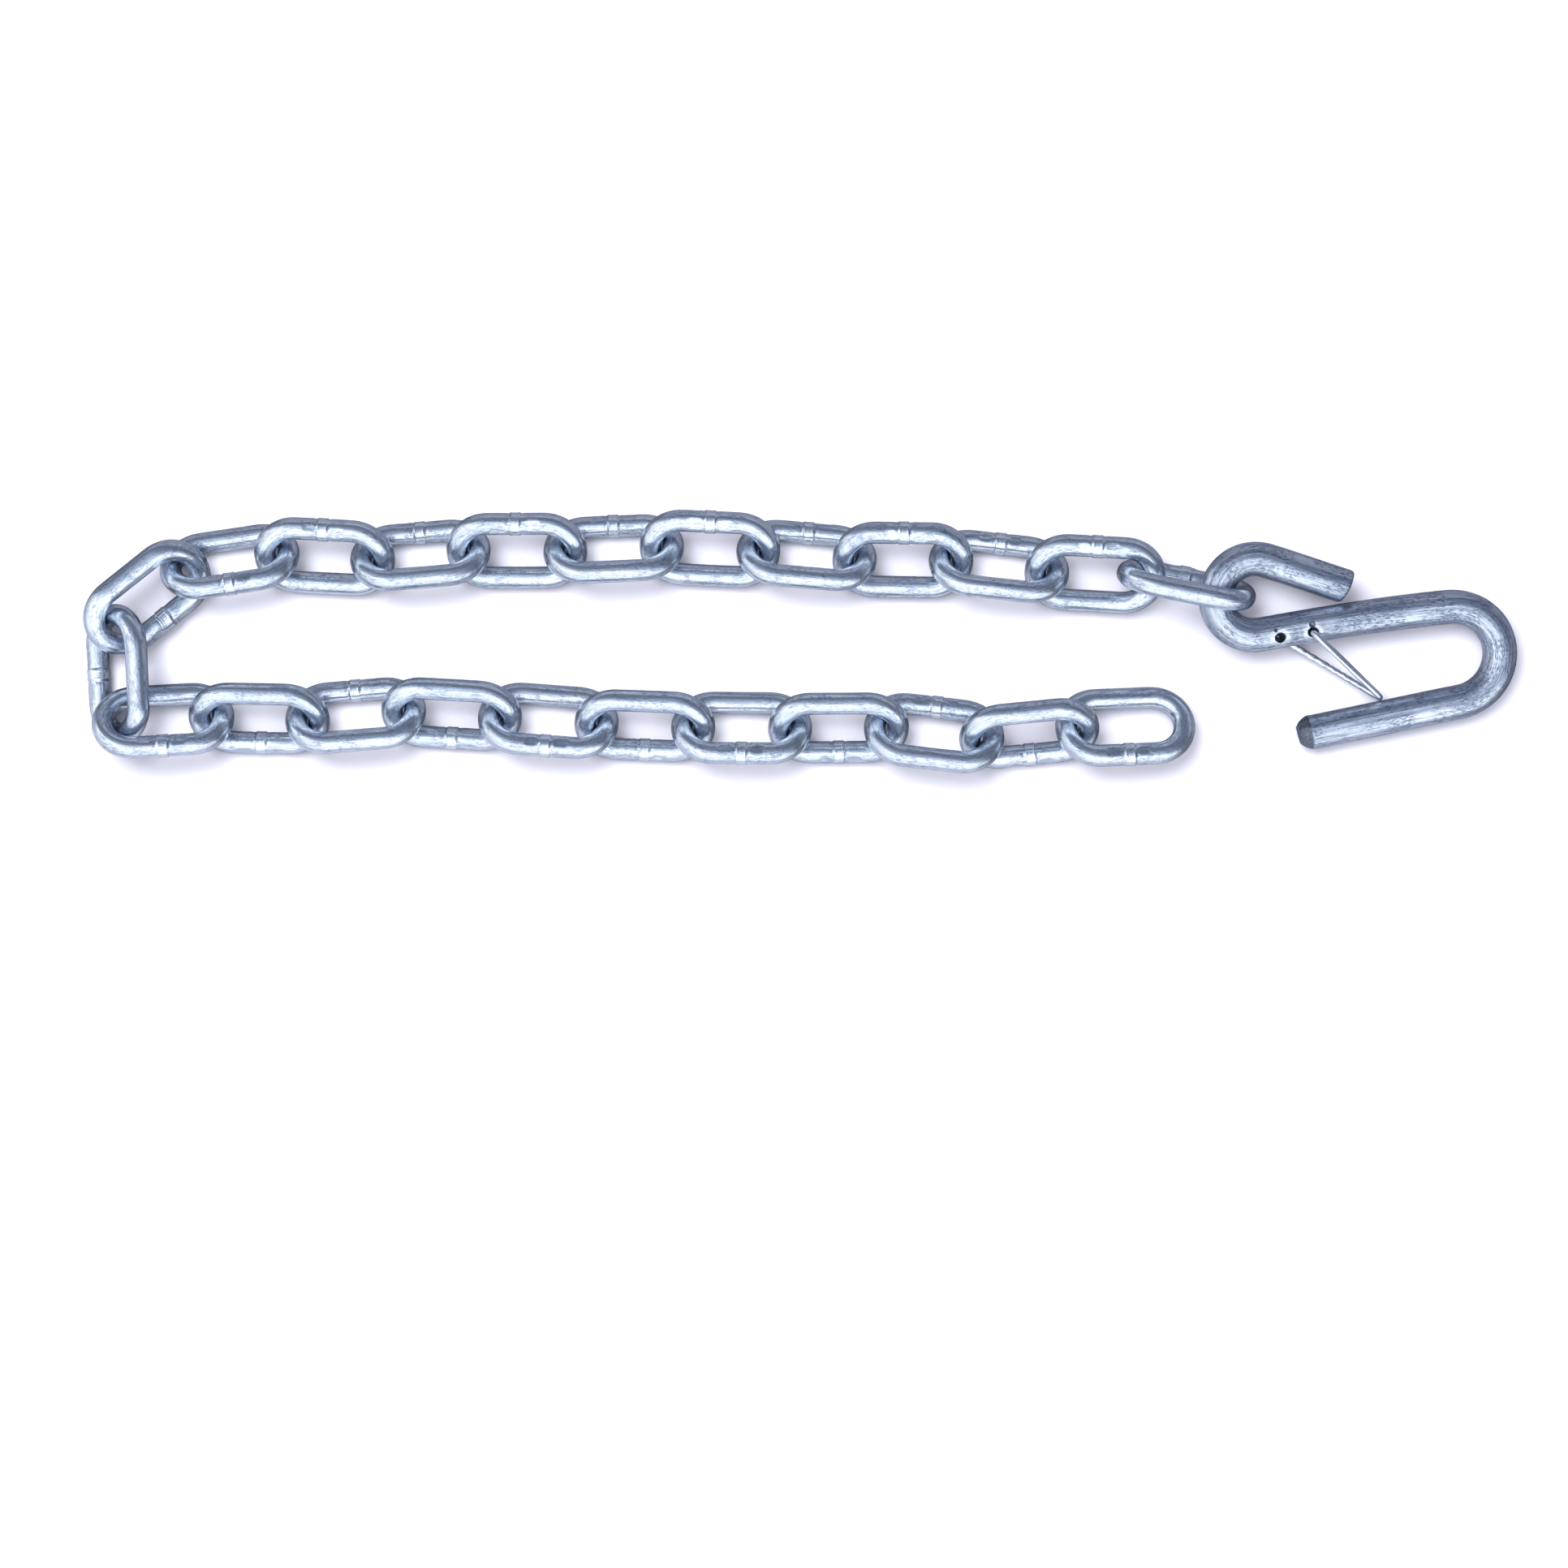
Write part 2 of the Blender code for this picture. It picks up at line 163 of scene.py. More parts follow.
def soften(points, sigma, step, closed=False):
    """Ease a centreline's changes of curvature, evenly spaced points."""
    reach = int(3 * sigma / step) + 1
    weight = np.exp(-0.5 * (np.arange(-reach, reach + 1) * step / sigma) ** 2)
    weight /= weight.sum()
    if closed:
        head, tail = points[-reach:], points[:reach]
    else:
        first, last = points[:1], points[-1:]
        head = first + (first - points[1:2]) * np.arange(reach, 0, -1)[:, None]
        tail = last + (last - points[-2:-1]) * np.arange(1, reach + 1)[:, None]
    padded = np.concatenate([head, points, tail])
    return np.stack([np.convolve(padded[:, k], weight, mode='valid')
                     for k in range(padded.shape[1])], axis=-1)


# ============================================================= mesh helpers
def grid_faces(rows, cols, closed):
    """Quads between rings of points, the ring index running first."""
    row = np.arange(rows if closed else rows - 1)[:, None]
    col = np.arange(cols)[None, :]
    here, ahead = row * cols, ((row + 1) % rows) * cols
    beside = (col + 1) % cols
    return np.stack([here + col, ahead + col, ahead + beside, here + beside],
                    axis=-1).reshape(-1, 4)


def sweep_faces(verts, centre, sides, closed):
    """Quads of a swept wire, turned over if they would face into it."""
    faces = grid_faces(len(centre), sides, closed)
    sample = faces[len(faces) // 3]
    hub = centre[sample[0] // sides]
    normal = np.cross(verts[sample[1]] - verts[sample[0]], verts[sample[2]] - verts[sample[0]])
    if normal.dot(verts[sample[0]] - hub) < 0:
        return faces[:, ::-1]
    return faces


def shade(mesh, sharp):
    """Smooth shading, broken at edges sharper than an angle in degrees."""
    mesh.shade_smooth()
    mesh.set_sharp_from_angle(angle=math.radians(sharp))


def add_object(name, verts, faces):
    """Mesh object from points in mm."""
    mesh = bpy.data.meshes.new(name)
    mesh.from_pydata((verts * MM).tolist(), [], [list(f) for f in faces])
    obj = bpy.data.objects.new(name, mesh)
    bpy.context.scene.collection.objects.link(obj)
    return obj


def add_wire(name, verts, faces, sharp):
    obj = add_object(name, verts, faces)
    obj.data.validate()
    shade(obj.data, sharp)
    return obj


def face_outward(mesh):
    """Turn every face of a closed mesh outward."""
    bm = bmesh.new()
    bm.from_mesh(mesh)
    bmesh.ops.recalc_face_normals(bm, faces=bm.faces)
    if bm.calc_volume(signed=True) < 0:
        bmesh.ops.reverse_faces(bm, faces=bm.faces)
    bm.to_mesh(mesh)
    bm.free()


def turned_solid(name, at, axis, profile, sides):
    """Closed turned solid about an axis: profile of (height, radius)."""
    axis = unit(axis)
    side = unit(np.cross(axis, (0.3, 0.9, 0.2)))
    other = np.cross(axis, side)
    angles = TAU * np.arange(sides) / sides
    rays = spokes(side[None], other[None], angles[None])[0]
    verts = np.concatenate([at + axis * height + rays * radius for height, radius in profile])
    faces = [list(f) for f in grid_faces(len(profile), sides, False)]
    faces.append(list(range(sides)))
    faces.append([(len(profile) - 1) * sides + k for k in reversed(range(sides))])
    obj = add_object(name, verts, faces)
    face_outward(obj.data)
    return obj


def subtract(obj, cutters):
    """Cut solids out of obj and leave plain mesh data behind."""
    for cutter in cutters:
        mod = obj.modifiers.new(cutter.name, 'BOOLEAN')
        mod.operation = 'DIFFERENCE'
        mod.solver = 'EXACT'
        mod.object = cutter
    bpy.context.view_layer.update()
    graph = bpy.context.evaluated_depsgraph_get()
    mesh = bpy.data.meshes.new_from_object(obj.evaluated_get(graph))
    obj.modifiers.clear()
    old = obj.data
    obj.data = mesh
    bpy.data.meshes.remove(old)
    for cutter in cutters:
        data = cutter.data
        bpy.data.objects.remove(cutter, do_unlink=True)
        bpy.data.meshes.remove(data)


def store(obj, **values):
    """Per-point values the materials read: floats, or vectors of three."""
    for key, val in values.items():
        val = np.asarray(val, np.float32)
        is_vector = val.ndim == 2
        layer = obj.data.attributes.new(key, 'FLOAT_VECTOR' if is_vector else 'FLOAT', 'POINT')
        layer.data.foreach_set('vector' if is_vector else 'value', val.ravel())


def flow_values(along, around, radius, seed, loop_length=None):
    """Coordinates in mm that run with the wire and close up around it.

    A wire with a loop_length closes up along itself too.
    """
    if loop_length:
        angle = TAU * along / loop_length
        loop_radius = loop_length / TAU
        x, y = loop_radius * np.cos(angle), loop_radius * np.sin(angle)
    else:
        x, y = along, np.zeros_like(along)
    # the seed moves each piece to its own place in the noise
    flow = np.stack([x + seed * 7.3, y + seed * 3.1, radius * np.cos(around) + seed * 1.7],
                    axis=-1)
    return {'flow': flow, 'flow_w': radius * np.sin(around) + seed * 5.9}


# ================================================================ materials
class Shader:
    """Short ways to add and link the nodes of one material or world."""

    def __init__(self, owner):
        owner.use_nodes = True
        self.nodes = owner.node_tree.nodes
        self.links = owner.node_tree.links

    def feed(self, socket, source):
        """Link a socket, or set its value."""
        if isinstance(source, bpy.types.NodeSocket):
            self.links.new(source, socket)
        else:
            socket.default_value = source

    def node(self, kind, inputs=None, **settings):
        node = self.nodes.new('ShaderNode' + kind)
        for key, setting in settings.items():
            setattr(node, key, setting)
        for key, source in (inputs or {}).items():
            self.feed(node.inputs[key], source)
        return node

    def math(self, operation, *terms, clamp=False):
        return self.node('Math', dict(enumerate(terms)), operation=operation,
                         use_clamp=clamp).outputs[0]

    def times(self, x, by):
        return self.math('MULTIPLY', x, by)

    def times_plus(self, x, by, plus, clamp=False):
        return self.math('MULTIPLY_ADD', x, by, plus, clamp=clamp)

    def attribute(self, name, output='Fac'):
        return self.node('Attribute', attribute_type='GEOMETRY',
                         attribute_name=name).outputs[output]

    def mix(self, factor, a, b):
        return self.node('Mix', data_type='RGBA').outputs['Result'] if False else self._mix(
            factor, a, b)

    def _mix(self, factor, a, b):
        return self.node('Mix', {'Factor': factor, 'A': a, 'B': b},
                         data_type='RGBA').outputs['Result']

    def noise(self, coords, mark, detail, roughness, w=None, distortion=0.0):
        """Noise with marks of a size in mm along each axis; 4D if w is given."""
        node = self.node('TexNoise', noise_dimensions='3D' if w is None else '4D')
        scaled = self.node('VectorMath', {0: coords, 1: tuple(1 / size for size in mark)},
                           operation='MULTIPLY').outputs[0]
        inputs = {'Vector': scaled, 'Scale': 1.0, 'Detail': detail,
                  'Roughness': roughness, 'Distortion': distortion}
        if w is not None:
            inputs['W'] = w
        for key, source in inputs.items():
            self.feed(node.inputs[key], source)
        return node.outputs['Fac']

    def streaks(self, wire, length, width, detail, roughness, shift=0.0):
        """Noise drawn out along the wire, from its (flow, flow_w) sockets."""
        flow, flow_w = wire
        return self.noise(flow, (length, length, width), detail, roughness,
                          w=self.times_plus(flow_w, by=1 / width, plus=shift))

    def ramp(self, factor, stops):
        """Colour ramp from stops of (position, grey or RGB)."""
        node = self.node('ValToRGB', {'Fac': factor})
        elements = node.color_ramp.elements
        while len(elements) < len(stops):
            elements.new(0.5)
        for element, (position, shade_of) in zip(elements, stops):
            grey = isinstance(shade_of, (int, float))
            element.position = position
            element.color = (shade_of,) * 3 + (1,) if grey else (*shade_of, 1)
        return node.outputs['Color']

    def rise(self, factor, start, end, floor=0.0):
        """Grey ramp from the floor up to one."""
        return self.ramp(factor, [(start, floor), (end, 1.0)])


# raw metal: dark and light of its grit
RAW_GRIT = [(0.35, (0.10, 0.115, 0.145)), (0.65, (0.21, 0.235, 0.285))]


def zinc(name, light, dark, rough, dull_rough, band_dull, line_dull, speck_dull,
         band_high, line_high, pit_deep, patch_mm):
    """Bright zinc plate over drawn wire.

    light and dark are the clean and the dulled plate, rough the clean plate's
    roughness and dull_rough what dulling adds to it. The _dull values are how
    much broad bands, fine draw lines and specks dull the plate; band_high,
    line_high and pit_deep are bump heights in mm; patch_mm is the size of the
    patches where specks gather.
    """
    mat = bpy.data.materials.new(name)
    g = Shader(mat)
    bsdf = g.nodes['Principled BSDF']
    wire = g.attribute('flow', 'Vector'), g.attribute('flow_w')
    rest, heat = g.attribute('rest_mm', 'Vector'), g.attribute('heat')
    polish, raw = g.attribute('polish'), g.attribute('raw')

    band = g.streaks(wire, length=34.0, width=1.7, detail=1.5, roughness=0.5)
    fine = g.streaks(wire, length=13.0, width=0.42, detail=3.0, roughness=0.6, shift=11.0)
    dash = g.streaks(wire, length=1.5, width=0.40, detail=3.0, roughness=0.65, shift=23.0)
    patch = g.noise(rest, (patch_mm,) * 3, detail=2.0, roughness=0.55, distortion=0.4)
    pits = g.noise(rest, (0.50,) * 3, detail=2.0, roughness=0.55)

    patchy = g.rise(patch, start=0.40, end=0.58, floor=0.20)
    banded = g.rise(band, start=0.42, end=0.58)
    lined = g.rise(fine, start=0.44, end=0.60)
    dashed = g.rise(dash, start=0.48, end=0.58)
    specks = g.times(dashed, by=patchy)

    dull = g.times(banded, by=band_dull)
    dull = g.times_plus(lined, by=line_dull, plus=dull)
    dull = g.times_plus(specks, by=speck_dull, plus=dull)
    dull = g.math('SUBTRACT', dull, g.times(polish, by=0.9), clamp=True)
    dull = g.math('ADD', dull, heat, clamp=True)

    plate = g.mix(dull, (*light, 1), (*dark, 1))
    g.feed(bsdf.inputs['Base Color'], g.mix(raw, plate, g.ramp(pits, RAW_GRIT)))

    roughness = g.times_plus(dull, by=dull_rough, plus=rough)
    roughness = g.times_plus(raw, by=0.25, plus=roughness)
    grain = g.times_plus(fine, by=0.10, plus=-0.05)
    g.feed(bsdf.inputs['Roughness'], g.math('ADD', roughness, grain, clamp=True))
    bsdf.inputs['Metallic'].default_value = 1.0

    height = g.times(band, by=band_high)
    height = g.times_plus(fine, by=line_high, plus=height)
    height = g.times_plus(specks, by=-pit_deep * 0.35, plus=height)
    pitted = g.times(pits, by=g.times_plus(patchy, by=pit_deep, plus=pit_deep * 0.25))
    height = g.math('ADD', height, pitted)
    bump = g.node('Bump', {'Strength': 1.0, 'Distance': MM, 'Height': height})
    g.feed(bsdf.inputs['Normal'], bump.outputs['Normal'])
    return mat


LINK_ZINC = zinc('zinc_link_wire', light=(0.88, 0.94, 1.0), dark=(0.35, 0.42, 0.57),
                 rough=0.15, dull_rough=0.16, band_dull=0.18, line_dull=0.26,
                 speck_dull=0.72, band_high=0.13, line_high=0.024, pit_deep=0.044,
                 patch_mm=5.0)
BAR_ZINC = zinc('zinc_hook_bar', light=(0.84, 0.90, 1.0), dark=(0.24, 0.29, 0.40),
                rough=0.24, dull_rough=0.16, band_dull=0.36, line_dull=0.50,
                speck_dull=0.85, band_high=0.26, line_high=0.055, pit_deep=0.090,
                patch_mm=7.0)
LATCH_ZINC = zinc('zinc_spring_wire', light=(0.92, 0.95, 1.0), dark=(0.52, 0.58, 0.70),
                  rough=0.20, dull_rough=0.14, band_dull=0.15, line_dull=0.25,
                  speck_dull=0.40, band_high=0.03, line_high=0.012, pit_deep=0.02,
                  patch_mm=4.0)


# ==================================================================== links
LINK_COUNT = 24
WIRE_R = 3.55
BEND_R = 10.1                # centreline radius of a link's crown
HALF_STRAIGHT = 9.2          # half the straight part of a link's side
WELD_AT = HALF_STRAIGHT      # the path starts at one end of the welded side
LINK_SIDES = 40
LINK_PATH_STEP = 0.05

# worn spots where two links of the turn rub together, mm in the frame
RUBBED = {'link_11': (-191.3, 18.3, 13.4), 'link_12': (-200.6, 9.8, 8.7)}
RUB_DEPTH, RUB_WIDTH = 0.10, 2.8


def main_axes(points):
    """Directions of a cloud of points, the longest first."""
    _, axes = np.linalg.eigh(np.cov(points.T))
    return axes[:, 2], axes[:, 1], axes[:, 0]


def link_frame(name):
    """Centre, length, width and normal axes of a CAD link, and its weld side."""
    points = np.array([v.co for v in frame["nodes"][name].data.vertices], float) / MM
    points = np.unique(points.round(3), axis=0)
    centre = (points.min(0) + points.max(0)) / 2
    # only the crowns are centred on, as the weld makes the sides unlike
    for _ in range(4):
        axes = main_axes(points - centre)
        crowns = points[np.abs((points - centre) @ axes[0]) > HALF_STRAIGHT - 0.6]
        spans = [(crowns - centre) @ axis for axis in axes]
        centre = np.array([x.max() + x.min() for x in spans]) / 2 @ np.stack(axes) + centre
    length, _, normal = main_axes(crowns - centre)
    joint_at = np.array(JOINT[name]["pos_m"]) / MM
    if (centre - joint_at).dot(length) < 0:
        length = -length
    if normal[2] < 0:
        normal = -normal
    width = np.cross(normal, length)
    middle = points[np.abs((points - centre) @ length) < 2.5]
    weld = 1 if ((middle - centre) @ width).mean() > 0 else -1
    return centre, length, width, normal, weld


def link_plan(weld):
    """Plan of a link's centreline, starting with the whole welded side."""
    line = np.arange(-HALF_STRAIGHT, HALF_STRAIGHT, LINK_PATH_STEP)
    arc = np.arange(0, math.pi * BEND_R, LINK_PATH_STEP) / BEND_R
    side = np.stack([-line * weld, np.full_like(line, BEND_R) * weld], -1)
    crown = np.stack([-(HALF_STRAIGHT + BEND_R * np.sin(arc)) * weld,
                      BEND_R * np.cos(arc) * weld], -1)
    return np.concatenate([side, crown, -side, -crown])


def link_rings(weld):
    """Plan points, outward plan directions and distances of a link's rings."""
    path = soften(link_plan(weld), 0.8, LINK_PATH_STEP, closed=True)
    loop = np.concatenate([path, path[:1]])
    path_dist = distances(loop)
    total = path_dist[-1]
    dist = []
    x = 0.0
    while x < total - 0.2:
        dist.append(x)
        off_weld = abs(wrap(x - WELD_AT, total))
        x += 0.20 if off_weld < 2.6 else 0.36 if off_weld < 9.0 else 0.66
    dist = np.array(dist)
    plan, ahead, back = (points_at(where, path_dist, loop)
                         for where in (dist, (dist + 0.25) % total, (dist - 0.25) % total))
    way = unit(ahead - back)
    out = np.stack([way[:, 1], -way[:, 0]], -1)
    flip = np.sign((out * plan).sum(1))
    out = out * np.where(flip == 0, 1, flip)[:, None]
    return plan, out, dist, total


def creases(rng, along, total, around):
    """Creases across the wire where the crowns were bent."""
    out = np.zeros(np.broadcast(along, around).shape)
    for _ in range(22):
        at = rng.choice([total * 0.25, total * 0.75]) + HALF_STRAIGHT + rng.normal() * 9.0
        off_along = wrap(along - at, total)
        off_around = wrap(around - rng.uniform(0, TAU), TAU)
        out -= rng.uniform(0.012, 0.045) * np.exp(
            -(off_along / rng.uniform(0.35, 0.7)) ** 2
            - (off_around / rng.uniform(0.3, 0.7)) ** 2)
    return out


def electrode_flats(rng, radius, off_weld, around):
    """Radii with the flats pressed by the weld, and how flat each point is."""
    flatness = np.zeros_like(radius)
    lip = 0.03
    for way in (-1, 1):
        for face in (math.pi / 2, -math.pi / 2):
            middle = face + rng.normal() * 0.2 - math.copysign(0.5, face) * rng.uniform(-0.2, 1)
            depth = rng.uniform(0.26, 0.46)
            angle = wrap(around - middle, TAU)
            start, end = rng.uniform(2.2, 2.8), rng.uniform(6.4, 9.0)
            x = off_weld * way
            press = np.clip(1 - (2 * (x - start) / (end - start) - 1) ** 4, 0, 1)
            lower = cut_flat(radius, angle, WIRE_R + lip - (depth + lip) * press)
            mask = (press > 0) * 1.0
            flatness = np.maximum(flatness, mask * smooth_step(radius - lower, 0.0, 0.05))
            radius = radius + (lower - radius) * mask
    return radius, flatness


def link_radius(rng, plan, along, total, off_weld, around):
    """Wire radius of every ring point, and the flatness by the weld."""
    radius = np.full((len(along), LINK_SIDES), WIRE_R)
    radius = radius + uneven(rng, along, total, around,
                             terms=10, waves=(1, 5), turns=(0, 3), rms=0.022)
    radius = radius + uneven(rng, along, total, around,
                             terms=12, waves=(0, 3), turns=(3, 7), rms=0.016)
    radius = radius + dents(rng, along, total, around, WIRE_R,
                            count=12, size=(0.7, 2.0), depth=(0.01, 0.045))
    # a crown is a little flattened inside and outside by the bending tools
    crown = smooth_step(np.abs(plan[:, 0]), HALF_STRAIGHT - 1, HALF_STRAIGHT + 6)[:, None]
    radius = radius - 0.055 * crown * np.cos(around) ** 2 + 0.03 * crown * np.sin(around) ** 2
    radius = radius + creases(rng, along, total, around) * crown
    # butt weld: a trimmed upset, two flash lines on it and a groove past each
    from_weld = off_weld + uneven(rng, along * 0, total, around,
                                  terms=6, waves=(1, 1), turns=(1, 4), rms=0.10)
    radius = radius + 0.16 * bell(from_weld, 1.5, 4)
    radius = radius + 0.16 * bell(np.abs(from_weld) - 1.35, 0.30)
    radius = radius - 0.12 * bell(np.abs(from_weld) - 2.3, 0.5)
    return electrode_flats(rng, radius, off_weld, around)


def build_link(name, seed):
    centre, length, width, normal, weld = link_frame(name)
    rng = np.random.default_rng(1000 + seed)
    plan, plan_out, dist, total = link_rings(weld)
    angles = ring_angles(LINK_SIDES)
    along, around = dist[:, None], angles[None, :]
    off_weld = wrap(dist - WELD_AT, total)[:, None]
    radius, flatness = link_radius(rng, plan, along, total, off_weld, around)

    out = length * plan_out[:, :1] + width * plan_out[:, 1:]
    line = centre + length * plan[:, :1] + width * plan[:, 1:]
    rays = spokes(out, normal[None], around)
    verts = line[:, None] + rays * radius[..., None]
    if name in RUBBED:
        gap = np.linalg.norm(verts - np.array(RUBBED[name]), axis=-1)
        verts = verts - rays * (RUB_DEPTH * bell(gap, RUB_WIDTH))[..., None]
    verts = verts.reshape(-1, 3)
    faces = sweep_faces(verts, line, LINK_SIDES, closed=True)
    obj = add_wire(name + '_wire', verts, faces, sharp=40)

    rest = np.stack([(verts - centre) @ axis for axis in (length, width, normal)], -1)
    weld_gap = np.abs(np.repeat(off_weld[:, 0], LINK_SIDES))
    store(obj,
          **flow_values(np.repeat(dist, LINK_SIDES), np.tile(angles, len(dist)), WIRE_R,
                        seed, loop_length=total),
          rest_mm=rest + seed * 41.0,
          heat=bell(weld_gap - 2.3, 0.6) * 0.40 + flatness.ravel() * 0.38,
          polish=bell(weld_gap, 1.5, 4) * 0.6,
          raw=np.zeros(len(verts)))
    obj.data.materials.append(LINK_ZINC)
    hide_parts(name)
    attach(obj, name)


# ===================================================================== hook
# The bar runs from its cut end round the eye, down the shank, round the bow
# and out to the point. Its plan has the bow's centre at the origin.
BAR_R = 5.55
EYE_R = 12.4                 # centreline radii
BOW_R = 15.65
EYE_END = 27.9               # straight from the cut end to the eye
SHANK = 61.6
POINT = 53.4                 # straight from the bow to the point
EYE_TURN = 208.6             # turns and headings in degrees
SHANK_BOW = 4.5
BOW_TURN = 174.5
SHANK_YAW = 10.5             # heading of the shank where it leaves the eye
EYE_ARC_AT = 170.0           # where the first link's joint lies around the eye
HOLE_AT = (5.6, 16.3)        # rear and front hole, along the shank from the eye
HOLE_OFF = 1.7               # holes to the side of the centreline
HOLE_R = 1.5
HOLE_RIM_R = 1.86            # countersink at the face of the bar
HOLE_RIM_H = 5.15            # that rim's height off the bar's middle plane
HOLE_RIM_DEEP = 0.42
# punch mark by each hole: mm across the bar, mm back to the eye, radius
PUNCHES = ((2.85, 1.2, 0.62), (2.75, 0.0, 1.05))
PUNCH_H = math.sqrt(BAR_R ** 2 - (2.75 - HOLE_OFF) ** 2)
BAR_SIDES = 80
BAR_PATH_STEP = 0.1
BAR_SHARP = 32

SHANK_R = SHANK / math.radians(SHANK_BOW)


def trace(at, yaw, moves):
    """Points of a bar in plan, and the distance reached after each move.

    Moves are ('line', length) or ('arc', radius, turn).
    """
    at = np.array(at, float)
    points = [at.copy()]
    marks = [0.0]
    for kind, size, *rest in moves:
        if kind == 'line':
            length = size
            count = max(1, int(round(length / BAR_PATH_STEP)))
            for i in range(1, count + 1):
                points.append(at + heading(yaw) * length * i / count)
        else:
            turn = rest[0]
            side = math.copysign(90.0, turn)
            hub = at + size * heading(yaw + side)
            length = size * math.radians(abs(turn))
            count = max(1, int(round(length / BAR_PATH_STEP)))
            for i in range(1, count + 1):
                points.append(hub - size * heading(yaw + turn * i / count + side))
            yaw += turn
        at = points[-1].copy()
        marks.append(marks[-1] + length)
    return np.array(points), marks


def hook_plan():
    """Bar's plan and marks, the eye's centre and the start of the shank."""
    bow_yaw = SHANK_YAW - SHANK_BOW
    bow_start = BOW_R * heading(bow_yaw + 90)
    shank_hub = bow_start + SHANK_R * heading(bow_yaw - 90)
    shank_start = shank_hub - SHANK_R * heading(SHANK_YAW - 90)
    eye_hub = shank_start + EYE_R * heading(SHANK_YAW + 90)
    eye_yaw = SHANK_YAW - EYE_TURN
    eye_start = eye_hub - EYE_R * heading(eye_yaw + 90)
    cut_end = eye_start - EYE_END * heading(eye_yaw)
    points, marks = trace(cut_end, eye_yaw, [
        ('line', EYE_END), ('arc', EYE_R, EYE_TURN), ('arc', SHANK_R, -SHANK_BOW),
        ('arc', BOW_R, -BOW_TURN), ('line', POINT)])
    return points, marks, eye_hub, shank_start


PLAN, MARKS, EYE_HUB, SHANK_START = hook_plan()
_, EYE_FROM, SHANK_FROM, BOW_FROM, BOW_TO, BAR_LENGTH = MARKS


def hole_place(along_shank):
    """Plan place of a hole, and the shank's heading there."""
    yaw = SHANK_YAW - SHANK_BOW * along_shank / SHANK
    hub = SHANK_START + SHANK_R * heading(SHANK_YAW - 90)
    return hub - (SHANK_R - HOLE_OFF) * heading(yaw - 90), yaw


HOLES = [hole_place(at) for at in HOLE_AT]
LATCH_PIVOT = (HOLES[0][0] + HOLES[1][0]) / 2


def hook_frame():
    """Origin and axes of the hook's plane, from its two joints in the frame."""
    normal = unit(JOINT["latch"]["axis"])
    plan_span = EYE_HUB + EYE_R * heading(EYE_ARC_AT) - LATCH_PIVOT
    latch_at = np.array(JOINT["latch"]["pos_m"]) / MM
    link_at = np.array(JOINT["link_01"]["pos_m"]) / MM
    span = link_at - latch_at
    x = unit(span * plan_span[0] - np.cross(normal, span) * plan_span[1])
    y = np.cross(normal, x)
    return latch_at - x * LATCH_PIVOT[0] - y * LATCH_PIVOT[1], x, y, normal


HOOK_AT, HOOK_X, HOOK_Y, HOOK_N = hook_frame()


def on_hook(plan, height=0.0):
    """Points in the frame from plan points and heights off the plane."""
    plan = np.asarray(plan, float)
    return (HOOK_AT + plan[..., :1] * HOOK_X + plan[..., 1:2] * HOOK_Y
            + np.asarray(height)[..., None] * HOOK_N)


def bar_step(dist):
    """Ring spacing: close at the ends and around the holes."""
    if dist < 4 or dist > BAR_LENGTH - 5:
        return 0.30
    if min(abs(dist - (SHANK_FROM + at)) for at in HOLE_AT) < 4.5:
        return 0.26
    return 0.62


def bar_radius(rng, dist, around):
    along, total = dist[:, None], dist[-1]
    wave_length = 320.0
    radius = np.full((len(dist), BAR_SIDES), BAR_R)
    # the drawn bar keeps long shallow flats, and picks up bending tool marks
    radius = radius + uneven(rng, along, wave_length, around,
                             terms=16, waves=(0, 2), turns=(4, 11), rms=0.034)
    radius = radius + uneven(rng, along, wave_length, around,
                             terms=12, waves=(2, 9), turns=(1, 4), rms=0.020)
    radius = radius + dents(rng, along, total, around, BAR_R,
                            count=46, size=(0.6, 2.2), depth=(0.015, 0.06), closed=False)
    # bends are a little narrower in the hook's plane and thicker across it
    eye, bow = (window(dist, (start - 3, start + 6), (end - 6, end + 3))
                for start, end in ((EYE_FROM, SHANK_FROM), (BOW_FROM, BOW_TO)))
    bend = (eye * 0.9 + bow * 0.8)[:, None]
    radius = radius - 0.10 * bend * np.cos(around) ** 2 + 0.05 * bend * np.sin(around) ** 2
    # pressed flat where the two holes were drilled
    hole_mid = sum(SHANK_FROM + at for at in HOLE_AT) / 2
    near = bell(along - hole_mid, 12.0, 4)
    for face in (1, -1):
        angle = wrap(around - face * math.pi / 2, TAU)
        radius = radius + (cut_flat(radius, angle, BAR_R - 0.13) - radius) * near
    # the eye's end is sheared and bevelled
    end = np.clip(1 - dist / 1.5, 0, 1)[:, None]
    bevel = 1.15 + 0.35 * np.cos(around - 0.8) + uneven(
        rng, along * 0, 1, around, terms=5, waves=(1, 1), turns=(1, 4), rms=0.12)
    radius = radius - bevel * (1 - np.sqrt(np.clip(1 - end ** 2, 0, 1)))
    # the point is blunted, behind a slight raised ring
    away = (total - dist)[:, None] + uneven(
        rng, along * 0, 1, around, terms=5, waves=(1, 1), turns=(1, 3), rms=0.16)
    tip = np.clip(1 - away / 3.7, 0, 1)
    radius = radius - (2.0 + 0.2 * np.cos(around + 2.0)) * tip ** 1.35 - 0.5 * tip ** 6
    radius = radius + 0.07 * bell(away - 4.1, 0.45)
    return radius + dents(rng, along, total, around, BAR_R, count=60, size=(0.4, 1.0),
                          depth=(0.01, 0.05), closed=False) * tip


